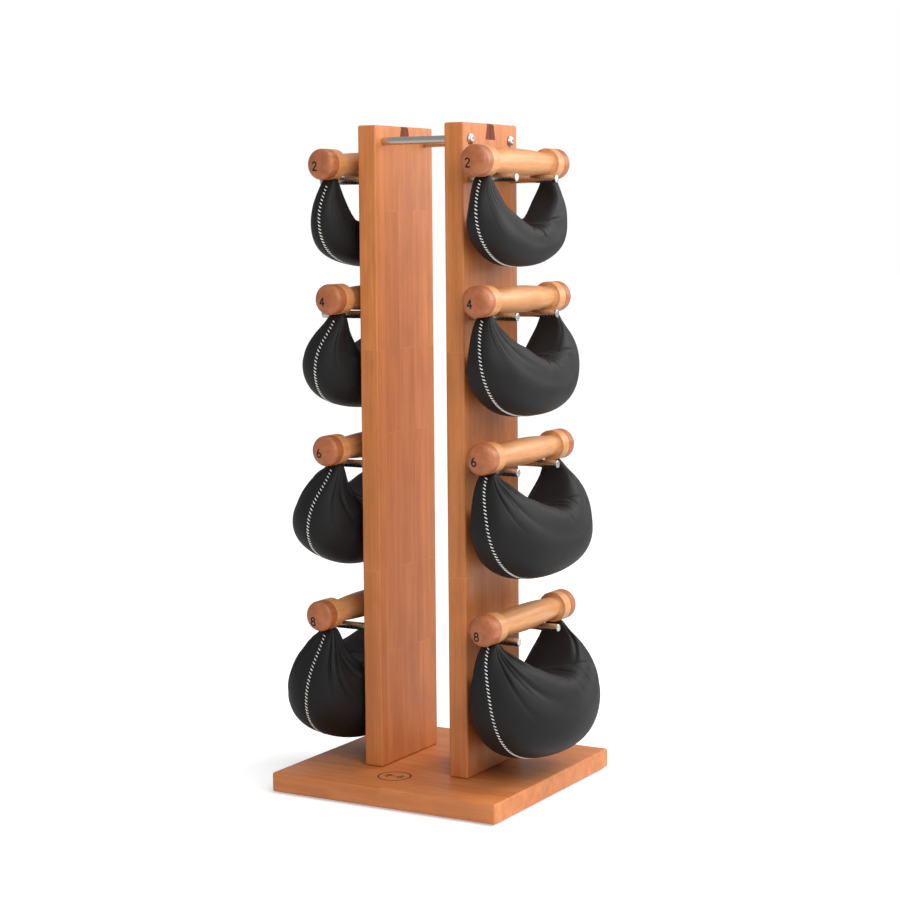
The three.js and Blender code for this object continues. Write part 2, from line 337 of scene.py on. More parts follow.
@dataclass(frozen=True)
class Finish:
    """What every finish has: a name, and the settings of its surface."""

    name: str
    roughness: float = 0.5
    metallic: float = 0.0
    ior: float = 1.5

    def material(self) -> Material:
        """The finish's material, made the first time it is asked for."""
        found = bpy.data.materials.get(self.name)
        if found:
            return found
        made = bpy.data.materials.new(self.name)
        nodes = Nodes(made)
        settings = {"Metallic": self.metallic, "Roughness": self.roughness}
        if not self.metallic:
            settings["IOR"] = self.ior
        surface = nodes.add("BsdfPrincipled", settings | self.surface(nodes))
        nodes.add("OutputMaterial", {"Surface": surface.outputs["BSDF"]})
        return made

    def surface(self, nodes: Nodes) -> dict:
        """Adds the finish's own nodes.

        Args:
            nodes: the material's tree.
        Returns:
            The inputs of the surface shader, as values or linked outputs.
        """
        raise NotImplementedError

    def dress(self, piece: Object, slot: str | None = None) -> Object:
        """Gives a piece this finish.

        Args:
            piece: the piece or CAD node.
            slot: a slot's name, which is not used.
        Returns:
            The piece.
        """
        piece.data.materials.clear()
        piece.data.materials.append(self.material())
        return piece if slot else piece


class Grain(Enum):
    """The way the wood's fibres run, as the order in which X, Y and Z become along, across and through."""

    ALONG_X = ("X", "Y", "Z")
    ALONG_Y = ("Y", "X", "Z")
    ALONG_Z = ("Z", "Y", "X")


@dataclass(frozen=True)
class OiledWood(Finish):
    """Planed and oiled hardwood glued up from staves, with a satin skin over straight fibres.

    Slow bands some 14 mm apart and fine streaks run with the fibres, and each stave has its own tone. The
    glue lines round the staves are thin and pale. Real fibres are finer than a millimetre, and they are drawn
    at about 2 mm so that they still show.

    Sizes such as band and fibre are how long and how wide one grain of their noise is, in millimetres. Shares
    such as streak_share are the noise's level where the deep tone begins, where it is full, and how full.
    """

    pale: str = "#d58447"
    mid: str = "#c6763a"
    deep: str = "#9e5324"
    grain: Grain = Grain.ALONG_Z
    stave: Numbers = (340.0, 43.0)
    stave_shift: float = 63.0
    band: Numbers = (420.0, 14.0)
    fibre: Numbers = (110.0, 2.2)
    pore: Numbers = (26.0, 1.2)
    cloud: Numbers = (90.0, 30.0)
    band_share: Numbers = (0.36, 0.66, 1.0)
    streak_share: Numbers = (0.45, 0.78, 0.4)
    cloud_share: Numbers = (0.45, 0.8, 0.4)
    pore_share: Numbers = (0.63, 0.76, 0.36)
    stave_stagger: float = 0.38
    stave_cut: Numbers = (1.7, 0.31, 0.23)
    stave_tone: Numbers = (0.94, 1.05)
    sheen: Numbers = (-0.06, 0.1)
    relief: float = 0.3
    glue_line: float = 0.6
    glue_share: float = 0.4
    glue: str = "#de9a5c"

    def stretched(self, nodes: Nodes, place: object, size: Numbers, detail: float) -> object:
        """A noise stretched along the fibres.

        Args:
            nodes: the material's tree.
            place: the point, with the fibres along X.
            size: how long and how wide one grain of the noise is, in millimetres.
            detail: how many finer octaves it has.
        Returns:
            The noise's value.
        """
        long, wide = (1 / (extent * MM) for extent in size)
        at = nodes.add("Mapping", {"Vector": place, "Scale": (long, wide, wide)})
        sockets = {"Vector": at.outputs[0], "Scale": 1.0, "Detail": detail, "Roughness": 0.55}
        return nodes.add("TexNoise", sockets).outputs[0]

    def surface(self, nodes: Nodes) -> dict:
        """Mixes the three tones by band, fibre, cloud and pore, tones each stave and draws its glue lines."""
        place = nodes.add("TexCoord").outputs["Object"]
        split = nodes.add("SeparateXYZ", {0: place})
        along = nodes.add("CombineXYZ", {i: split.outputs[axis] for i, axis in enumerate(self.grain.value)})
        shifted = nodes.add("VectorMath", {0: along.outputs[0], 1: (0.0, self.stave_shift * MM, 0.0)})
        length, width = self.stave
        staves = nodes.add("TexBrick", {
            "Vector": shifted.outputs[0], "Scale": 1.0, "Bias": 0.0,
            "Color1": (0, 0, 0, 1), "Color2": (1, 1, 1, 1), "Mortar": (0.5, 0.5, 0.5, 1),
            "Mortar Size": self.glue_line * MM, "Mortar Smooth": 0.6,
            "Brick Width": length * MM, "Row Height": width * MM,
        }, offset=self.stave_stagger, offset_frequency=2)
        tone = staves.outputs["Color"]
        # Each stave was cut from another part of the tree, so its pattern is taken from another place.
        cut = nodes.add("VectorMath", {0: tone, 1: self.stave_cut, 2: along.outputs[0]},
                        operation="MULTIPLY_ADD")
        bands = self.stretched(nodes, cut.outputs[0], self.band, 2.0)
        streaks = self.stretched(nodes, cut.outputs[0], self.fibre, 4.0)
        clouds = self.stretched(nodes, cut.outputs[0], self.cloud, 2.0)
        pores = self.stretched(nodes, cut.outputs[0], self.pore, 1.0)
        banded = self.share(nodes, bands, self.band_share)
        colour = nodes.add("MixRGB", {0: banded, 1: linear(self.pale), 2: linear(self.mid)})
        layers = ((streaks, self.streak_share), (clouds, self.cloud_share), (pores, self.pore_share))
        for noise, levels in layers:
            share = self.share(nodes, noise, levels)
            colour = nodes.add("MixRGB", {0: share, 1: colour.outputs[0], 2: linear(self.deep)})
        low, high = self.stave_tone
        tone_value = nodes.add("MapRange", {0: tone, 3: low, 4: high})
        toned = nodes.add("HueSaturation", {"Value": tone_value.outputs[0], "Color": colour.outputs[0]})
        line_share = nodes.add("Math", {0: staves.outputs["Fac"], 1: self.glue_share}, operation="MULTIPLY")
        lined = nodes.add("MixRGB", {0: line_share.outputs[0], 1: toned.outputs[0], 2: linear(self.glue)})
        smooth, dull = (self.roughness + change for change in self.sheen)
        rough = nodes.add("MapRange", {0: streaks, 3: smooth, 4: dull})
        bump = nodes.add("Bump", {"Strength": self.relief, "Distance": 0.3 * MM, "Height": streaks})
        return {"Base Color": lined.outputs[0], "Roughness": rough.outputs[0], "Normal": bump.outputs[0]}

    @staticmethod
    def share(nodes: Nodes, noise: object, levels: Numbers) -> object:
        """Turns a noise between the first two levels into a share of up to the third."""
        low, high, most = levels
        return nodes.add("MapRange", {0: noise, 1: low, 2: high, 3: 0.0, 4: most}).outputs[0]


@dataclass(frozen=True)
class NappaLeather(Finish):
    """Black drum-dyed nappa, with a soft sheen over a fine pebbled grain and faint clouds in the dye.

    The real pebbles are half a millimetre, and they are drawn at 1.4 mm so that they still show.
    """

    colour: str = "#121213"
    worn: str = "#19191a"
    pebble: float = 1.4
    pebble_share: float = 0.5
    clouds_to_the_metre: float = 26.0
    creases_to_the_metre: float = 150.0
    sheen: float = 0.07
    relief: float = 0.16

    def surface(self, nodes: Nodes) -> dict:
        """Mixes two blacks by slow clouds and raises the pebbles."""
        place = nodes.add("TexCoord").outputs["Object"]
        clouds = nodes.add("TexNoise", {"Vector": place, "Scale": self.clouds_to_the_metre, "Detail": 3.0,
                                        "Roughness": 0.55})
        colour = nodes.add("MixRGB", {0: clouds.outputs[0], 1: linear(self.colour), 2: linear(self.worn)})
        pebbles = nodes.add("TexVoronoi", {"Vector": place, "Scale": 1 / (self.pebble * MM)}, feature="F1")
        creases = nodes.add("TexNoise", {"Vector": place, "Scale": self.creases_to_the_metre, "Detail": 3.0,
                                         "Roughness": 0.6})
        sockets = {0: pebbles.outputs["Distance"], 1: self.pebble_share, 2: creases.outputs[0]}
        height = nodes.add("Math", sockets, operation="MULTIPLY_ADD")
        bump = nodes.add("Bump", {"Strength": self.relief, "Distance": 0.5 * MM, "Height": height.outputs[0]})
        smooth, dull = self.roughness - self.sheen, self.roughness + self.sheen
        rough = nodes.add("MapRange", {0: clouds.outputs[0], 3: smooth, 4: dull})
        return {"Base Color": colour.outputs[0], "Roughness": rough.outputs[0], "Normal": bump.outputs[0]}


@dataclass(frozen=True)
class GroundSteel(Finish):
    """Ground stainless steel rod, bright, with fine rings left by the wheel across its length."""

    metallic: float = 1.0
    roughness: float = 0.24
    colour: str = "#d9d7d2"
    dull: str = "#b4b1ab"
    line: float = 0.5
    lines_across: float = 30.0
    sheen: Numbers = (-0.07, 0.1)
    relief: float = 0.12

    def surface(self, nodes: Nodes) -> dict:
        """Varies colour, roughness and height in fine lines across the rod."""
        place = nodes.add("TexCoord").outputs["Object"]
        stretch = (1 / (self.line * MM), self.lines_across, self.lines_across)
        at = nodes.add("Mapping", {"Vector": place, "Scale": stretch})
        lines = nodes.add("TexNoise", {"Vector": at.outputs[0], "Scale": 1.0, "Detail": 2.0,
                                       "Roughness": 0.6})
        colour = nodes.add("MixRGB", {0: lines.outputs[0], 1: linear(self.colour), 2: linear(self.dull)})
        bright, dull = (self.roughness + change for change in self.sheen)
        rough = nodes.add("MapRange", {0: lines.outputs[0], 3: bright, 4: dull})
        bump = nodes.add("Bump", {"Strength": self.relief, "Distance": 0.1 * MM, "Height": lines.outputs[0]})
        return {"Base Color": colour.outputs[0], "Roughness": rough.outputs[0], "Normal": bump.outputs[0]}


@dataclass(frozen=True)
class Mottled(Finish):
    """A plain surface whose two near tones and fine roughness come from one noise of a real size."""

    colour: str = "#808080"
    other: str = "#707070"
    grit: float = 2.0
    height: float = 0.2
    relief: float = 0.4
    levels: Numbers = (0.3, 0.7)

    def surface(self, nodes: Nodes) -> dict:
        """Mixes the two tones by the noise, which raises the surface too."""
        place = nodes.add("TexCoord").outputs["Object"]
        grit = nodes.add("TexNoise", {"Vector": place, "Scale": 1 / (self.grit * MM), "Detail": 3.0,
                                      "Roughness": 0.6})
        low, high = self.levels
        share = nodes.add("MapRange", {0: grit.outputs[0], 1: low, 2: high})
        colour = nodes.add("MixRGB", {0: share.outputs[0], 1: linear(self.colour), 2: linear(self.other)})
        bump = nodes.add("Bump", {"Strength": self.relief, "Distance": self.height * MM,
                                  "Height": grit.outputs[0]})
        return {"Base Color": colour.outputs[0], "Normal": bump.outputs[0]}


BOARD_CHERRY = OiledWood("oiled cherry, boards", roughness=0.44)
BASE_CHERRY = OiledWood("oiled cherry, base plate", roughness=0.42, grain=Grain.ALONG_X, pale="#d9884f",
                        mid="#cb7a41", deep="#a15527", stave=(410.0, 42.0), stave_shift=0.0, glue_share=0.15)
HANDLE_CHERRY = OiledWood("turned cherry, grips", roughness=0.38, grain=Grain.ALONG_Y, pale="#e0a06a",
                          mid="#d28e56", deep="#ac6a36", stave=(900.0, 900.0), band=(260.0, 9.0),
                          fibre=(70.0, 1.7), cloud=(60.0, 18.0))
# Turned across its fibres, a cap drinks more oil than a grip does, so it is darker and redder. Its tones are
# darkened further as painted shade, the shade that falls on the caps' faces.
CAP_CHERRY_WITH_PAINTED_SHADE = OiledWood("turned cherry, caps", roughness=0.4, grain=Grain.ALONG_Y, pale="#b96f45",
                       mid="#a76038", deep="#864626", stave=(900.0, 900.0), band=(260.0, 11.0),
                       fibre=(70.0, 2.0), cloud=(60.0, 18.0))
KEY_WALNUT = OiledWood("oiled walnut, keys", roughness=0.66, ior=1.35, pale="#8a431d", mid="#6c3012",
                       deep="#3a1908", stave=(900.0, 900.0), band=(120.0, 6.0), fibre=(60.0, 1.2))
POUCH_NAPPA = NappaLeather("black nappa leather", roughness=0.6, ior=1.35)
ROD_STEEL = GroundSteel("ground stainless steel")
BOLT_STEEL = GroundSteel("polished stainless steel", roughness=0.3, line=1.0, colour="#d3d1cc",
                         dull="#bcb9b3")
# Zinc plating is dull and faintly spangled.
BOLT_ZINC = Mottled("zinc plated steel", roughness=0.42, metallic=1.0, colour="#a9abad", other="#8e9093")
FOOT_FELT = Mottled("pressed wool felt", roughness=0.95, colour="#37342f", other="#28251f", grit=1.5,
                    height=0.5)
# Waxed polyester thread has a soft gloss on a fine twist.
SEAM_THREAD = Mottled("waxed white thread", roughness=0.55, colour="#f6f4ee", other="#e6e3da", grit=0.7)
# Burnt wood is matt and brown-black, with a little char.
BURNT_WOOD = Mottled("burnt wood", roughness=0.85, colour="#150a05", other="#22110a", grit=0.8)


# ---- The stand -------------------------------------------------------------------------------------------
@dataclass
class Plank:
    """A straight board cut from an outline, with its arrises rounded over."""

    edge: float = 3.0
    segments: int = 4

    def make(self, name: str, outline: Array, reach: Array, square: Sequence[int] = ()) -> Object:
        """Extrudes an outline and rounds every edge apart from those at the corners in square.

        Args:
            name: the piece's name.
            outline: the corners in order, of shape (corners, 3).
            reach: from one face of the board to the other.
            square: the numbers of the outline's corners that stay sharp.
        Returns:
            The board, with a Bevel modifier that rounds it.
        """
        corners = len(outline)
        mesh = bpy.data.meshes.new(name)
        near, far = list(range(corners)), list(range(corners, 2 * corners))
        sides = [(i, (i + 1) % corners, (i + 1) % corners + corners, i + corners) for i in near]
        points = np.concatenate([outline, outline + reach]) * MM
        mesh.from_pydata(points.tolist(), [], [near[::-1], far, *sides])
        mesh.update(calc_edges=True)
        ends = np.zeros(len(mesh.edges) * 2, np.int32)
        mesh.edges.foreach_get("vertices", ends)
        kept = np.isin(ends.reshape(-1, 2) % corners, list(square))
        weight = mesh.attributes.new("bevel_weight_edge", "FLOAT", "EDGE")
        weight.data.foreach_set("value", (~kept.all(axis=1)).astype(np.float32))
        facets = bpy.data.objects.new(name, mesh)
        bpy.context.scene.collection.objects.link(facets)
        self.point_outwards(mesh)
        rounding = facets.modifiers.new("rounded arrises", "BEVEL")
        rounding.width, rounding.segments = self.edge * MM, self.segments
        rounding.limit_method = "WEIGHT"
        rounding.harden_normals = True
        mesh.polygons.foreach_set("use_smooth", np.ones(len(mesh.polygons), bool))
        mesh.set_sharp_from_angle(angle=math.radians(30))
        return facets

    @staticmethod
    def point_outwards(mesh: bpy.types.Mesh) -> None:
        """Turns a closed mesh's faces outwards.

        Args:
            mesh: the mesh, whose faces already agree with each other.
        """
        volume = sum(face.area * face.center.dot(face.normal) for face in mesh.polygons)
        if volume < 0:
            mesh.flip_normals()


@dataclass
class Stand:
    """Everything that stays still: the base plate, the boards, their keys, the bars, bolts, pins and feet."""

    key_top: float = 20.0
    key_bottom: float = 31.0
    key_height: float = 24.0
    key_clearance: float = 0.05
    board_edge: float = 3.2
    base_edge: float = 3.0
    rod_chamfer: float = 0.8
    rod_crown: float = 0.25
    rod_corner: float = 0.3
    head_radius: float = 8.5
    head_rim: float = 1.0
    head_chamfer: float = 0.4
    head_sweep: float = 68.0
    head_power: float = 0.8
    head_lift: float = 0.1
    head_sides: int = 48
    socket_across: float = 5.0
    socket_depth: float = 2.4
    socket_chamfer: float = 0.25
    shank_radius: float = 3.0
    foot_edge: float = 0.8
    body: str = "stand"

    def build(self) -> None:
        """Builds and dresses every piece of the stand."""
        self.make_base()
        for side in Side:
            self.make_board(side)
            for end in End:
                self.make_bolt(side, end)
                self.make_foot(side, end)
                for weight in Weight:
                    self.make_pin(side, end, weight)
        for end in End:
            self.make_crossbar(end)
        for name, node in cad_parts.items():
            if name.startswith("base_bolt"):
                BOLT_ZINC.dress(node, "zinc_steel")

    def keep(self, piece: Object, finish: Finish, slot: str | None, *nodes: str) -> None:
        """Dresses a piece, puts it on the stand and hides the nodes that it stands for."""
        finish.dress(piece, slot)
        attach(piece, self.body)
        if nodes:
            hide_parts(*nodes)
        log.info("%s: %d faces", piece.name, len(piece.data.polygons))

    def make_base(self) -> None:
        """The base plate, a rectangle with all its arrises rounded."""
        place = Place.of("base_plate")
        (x0, y0, z0), (x1, y1, z1) = place.low, place.high
        outline = np.array([(x0, y0, z0), (x0, y1, z0), (x0, y1, z1), (x0, y0, z1)])
        plate = Plank(self.base_edge).make("base_plate_board", outline, np.array([x1 - x0, 0, 0]))
        self.keep(plate, BASE_CHERRY, "cherry_wood", "base_plate")

    def make_board(self, side: Side) -> None:
        """An upright board with a dovetail notch in its top edge, and the walnut key that fills it."""
        place = Place.of(f"upright_{side.label}")
        (x0, y0, z0), (x1, y1, z1) = place.low, place.high
        top, bottom, floor = self.key_top / 2, self.key_bottom / 2, z1 - self.key_height
        notch = [(top, z1), (bottom, floor), (-bottom, floor), (-top, z1)]
        outline = np.array([(x0, y, z) for y, z in [(y0, z0), (y1, z0), (y1, z1), *notch, (y0, z1)]])
        reach = np.array([x1 - x0, 0, 0])
        plank = Plank(self.board_edge)
        board = plank.make(f"upright_{side.label}_board", outline, reach, square=(3, 4, 5, 6))
        self.keep(board, BOARD_CHERRY, "cherry_wood", f"upright_{side.label}")
        gap = self.key_clearance
        filled = [(y - math.copysign(gap, y), z + (gap if z == floor else 0)) for y, z in notch]
        wedge = np.array([(x0, y, z) for y, z in filled])
        # Only the key's two top edges along Y are rounded over, as the board's are.
        key = plank.make(f"key_{side.label}_wedge", wedge, reach, square=(1, 2))
        self.soften_top(key)
        self.keep(key, KEY_WALNUT, "walnut", f"key_{side.label}")

    @staticmethod
    def soften_top(key: Object) -> None:
        """Leaves the rounding only on the two edges of the key's top that run along Y."""
        mesh = key.data
        points = np.zeros(len(mesh.vertices) * 3)
        mesh.vertices.foreach_get("co", points)
        points = points.reshape(-1, 3)
        ends = np.zeros(len(mesh.edges) * 2, np.int32)
        mesh.edges.foreach_get("vertices", ends)
        a, b = points[ends.reshape(-1, 2)].transpose(1, 0, 2)
        top = points[:, 2].max()
        on_top = (a[:, 2] > top - 1e-6) & (b[:, 2] > top - 1e-6) & (np.abs(a[:, 0] - b[:, 0]) < 1e-6)
        mesh.attributes["bevel_weight_edge"].data.foreach_set("value", on_top.astype(np.float32))

    def rod(self, name: str, place: Place, sides: int = 36) -> Object:
        """A round rod along X that fills its node's box, with chamfered and faintly crowned ends."""
        half, radius = place.size[0] / 2, place.size[2] / 2
        cut, crown, corner = self.rod_chamfer, self.rod_crown, self.rod_corner
        end = rounded([(half - cut - 2, radius), (half - cut, radius), (half - crown, radius - cut),
                       (half - crown * 0.4, radius * 0.5)], [0, corner, corner, 0])
        profile = [(-half, 0), *[(-x, r) for x, r in reversed(end)], *end, (half, 0)]
        return turned(name, profile, place.centre, Axis.X, sides)

    def make_pin(self, side: Side, end: End, weight: Weight) -> None:
        """One of the two pins that carry a handle."""
        label = f"pin_{side.label}_{weight.value}kg_{end.label}"
        self.keep(self.rod(f"{label}_rod", Place.of(label)), ROD_STEEL, "brushed_steel", label)

    def make_crossbar(self, end: End) -> None:
        """A bar between the two boards."""
        label = f"crossbar_{end.label}"
        self.keep(self.rod(f"{label}_rod", Place.of(label), 48), ROD_STEEL, "brushed_steel", label)

    def make_bolt(self, side: Side, end: End) -> None:
        """A dome-headed bolt with a hexagon socket, screwed through the board into a crossbar.

        The socket's rings follow a hexagon: at angle a the radius is half the width across flats divided by
        the cosine of the angle to the middle of the nearest flat.
        """
        label = f"crossbar_bolt_{side.label}_{end.label}"
        place = Place.of(label)
        board = Place.of(f"upright_{side.label}")
        face = board.high[0] if side is Side.RIGHT else -board.low[0]
        crown = (place.high[0] if side is Side.RIGHT else -place.low[0]) - face
        length = place.size[0] - crown
        tilt = np.linspace(0, 1, 9) * math.radians(self.head_sweep)
        start, lift, cut = self.head_rim, self.head_lift, self.head_chamfer
        dome = np.stack([start + (crown - start) * np.sin(tilt) / math.sin(tilt[-1]),
                         self.head_radius * np.cos(tilt) ** self.head_power], axis=-1)
        outside = [(-length, self.shank_radius), (lift, self.shank_radius), (lift, self.head_radius - cut),
                   (cut, self.head_radius), *map(tuple, dome)]
        angle = np.arange(self.head_sides) * TURN / self.head_sides
        flat = (angle + math.pi / 6) % (math.pi / 3) - math.pi / 6
        hexagon = self.socket_across / 2 / np.cos(flat)
        bottom, lead = crown - self.socket_depth, self.socket_chamfer
        along = np.array([*[a for a, _ in outside], crown, crown - lead, bottom])
        rounds = [np.full(self.head_sides, r) for _, r in outside]
        radius = np.array([*rounds, hexagon + lead, hexagon, hexagon])
        rings = np.stack(np.broadcast_arrays(
            side.value * along[:, None], radius * np.cos(angle), radius * np.sin(angle)), axis=-1)
        middle = np.array([side.value * face, place.centre[1], place.centre[2]])
        ends = (middle + [-side.value * length, 0, 0], middle + [side.value * bottom, 0, 0])
        bolt = Skin().add_tube(rings + middle, ends).make(f"{label}_dome", 30)
        self.keep(bolt, BOLT_STEEL, "polished_steel", label)

    def make_foot(self, side: Side, end: End) -> None:
        """A round pad of felt under a corner of the base plate."""
        label = f"foot_{end.label}_{side.label}"
        place = Place.of(label)
        radius, height = place.size[0] / 2, place.size[2]
        corners = [(0, 0), (0, radius), (height, radius), (height, 0)]
        profile = rounded(corners, [0, self.foot_edge, self.foot_edge, 0])
        pad = turned(f"{label}_pad", profile, place.centre - [0, 0, height / 2], Axis.Z)
        self.keep(pad, FOOT_FELT, "foot_felt", label)


# ---- Burnt marks -----------------------------------------------------------------------------------------
@dataclass
class Stroke:
    """One line of a mark: points on a flat drawing, in millimetres, whose last may join its first."""

    points: Array
    closed: bool = False


def arc(centre: Numbers, radius: Numbers, start: float, end: float, steps: int = 20) -> Array:
    """Points of an elliptic arc on a drawing.

    The point at angle a is the centre plus the two radii times the cosine and the sine of a.

    Args:
        centre: the middle of the ellipse.
        radius: its half width and half height.
        start: the first angle in degrees.
        end: the last angle in degrees.
        steps: how many points there are.
    Returns:
        Points of shape (steps, 2).
    """
    a = np.radians(np.linspace(start, end, steps))
    return np.stack([centre[0] + radius[0] * np.cos(a), centre[1] + radius[1] * np.sin(a)], axis=-1)


def line(*points: Numbers, steps: int = 8) -> Array:
    """Points evenly spaced on each straight run of a line."""
    corners = np.array(points, float)
    share = np.linspace(0, 1, steps)[:, None]
    runs = [a + (b - a) * share for a, b in zip(corners[:-1], corners[1:])]
    return np.concatenate([runs[0], *[run[1:] for run in runs[1:]]])


@dataclass
class BurntMark:
    """Strokes of one width burnt into a surface: flat ribbons with a rounded section."""

    width: float
    proud: float = 0.12
    sunk: float = 0.25

    def make(self, name: str, strokes: Sequence[Stroke],
             lay: Callable[[Array], tuple[Array, Array]]) -> Object:
        """Makes all the strokes as one mesh.

        A ribbon's section is a flat six-sided shape as wide as the stroke, carried along the stroke. Each of
        its points is laid on the surface, and then raised or sunk along the surface's normal.

        Args:
            name: the piece's name.
            strokes: the drawing.
            lay: sends points of the drawing to points on the surface and its normals there.
        Returns:
            The mark.
        """
        section = np.array([(-0.5, -1), (-0.5, 0.3), (-0.32, 1), (0.32, 1), (0.5, 0.3), (0.5, -1)])
        skin = Skin()
        for stroke in strokes:
            points = stroke.points[:-1] if stroke.closed else stroke.points
            if stroke.closed:
                ahead = np.roll(points, -1, axis=0) - np.roll(points, 1, axis=0)
            else:
                ahead = np.gradient(points, axis=0)
                points = points + self.overrun(ahead)
            beside = unit(ahead) @ np.array([[0, 1], [-1, 0]], float)
            flat = points[:, None] + beside[:, None] * section[None, :, :1] * self.width
            surface, normal = lay(flat.reshape(-1, 2))
            height = np.where(section[:, 1] > 0, self.proud, self.sunk) * section[:, 1]
            rings = (surface + normal * np.tile(height, len(points))[:, None]).reshape(len(points), -1, 3)
            if stroke.closed:
                skin.add_loop(rings)
            else:
                skin.add_tube(rings)
        return skin.make(name, 50)

    def overrun(self, ahead: Array) -> Array:
        """Moves a stroke's two ends out by a third of its width, so that strokes meet without a notch."""
        moved = np.zeros_like(ahead)
        moved[0], moved[-1] = -unit(ahead[0]) * self.width / 3, unit(ahead[-1]) * self.width / 3
        return moved


def numeral(weight: Weight) -> list[Stroke]:
    """The strokes of a plain numeral, 13 mm tall, centred on its middle."""
    if weight is Weight.TWO:
        bow = arc((0, 3.1), (3.3, 3.3), 160, -35, 18)
        return [Stroke(np.concatenate([bow, line(tuple(bow[-1]), (-3.4, -6.2), (3.5, -6.2))[1:]]))]
    if weight is Weight.FOUR:
        return [Stroke(line((1.6, -6.4), (1.6, 6.2), (-3.9, -2.6), (3.9, -2.6)))]
    if weight is Weight.SIX:
        tail = arc((3.4, -2.6), (6.8, 9.4), 180, 118, 16)
        return [Stroke(arc((0, -2.9), (3.4, 3.4), 0, 360, 33), closed=True), Stroke(tail)]
    return [Stroke(arc((0, 3.3), (2.8, 2.9), 0, 360, 29), closed=True),
            Stroke(arc((0, -2.9), (3.5, 3.4), 0, 360, 33), closed=True)]


@dataclass
class BaseEmblem:
    """A plain burnt emblem of a hand weight in a ring, on the base plate in front of the boards."""

    centre: Numbers = (-17.0, -119.0)
    radius: float = 25.0
    width: float = 2.2

    def build(self) -> None:
        """Draws the ring and the weight, and lays them on the base plate's top."""
        top = Place.of("base_plate").high[2]

        def lay(flat: Array) -> tuple[Array, Array]:
            """Lays the drawing flat on the plate, with its top to the rear."""
            place = flat + np.array(self.centre)
            return np.column_stack([place, np.full(len(flat), top)]), np.tile([0.0, 0.0, 1.0], (len(flat), 1))

        strokes = [Stroke(arc((0, 0), (self.radius, self.radius), 0, 360, 73), closed=True)]
        strokes.append(Stroke(line((-8, 0), (8, 0))))
        for x, half in ((-9.5, 8.5), (-13.5, 5.5), (9.5, 8.5), (13.5, 5.5)):
            strokes.append(Stroke(line((x, -half), (x, half))))
        mark = BurntMark(self.width).make("base_plate_emblem", strokes, lay)
        BURNT_WOOD.dress(mark)
        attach(mark, "stand")


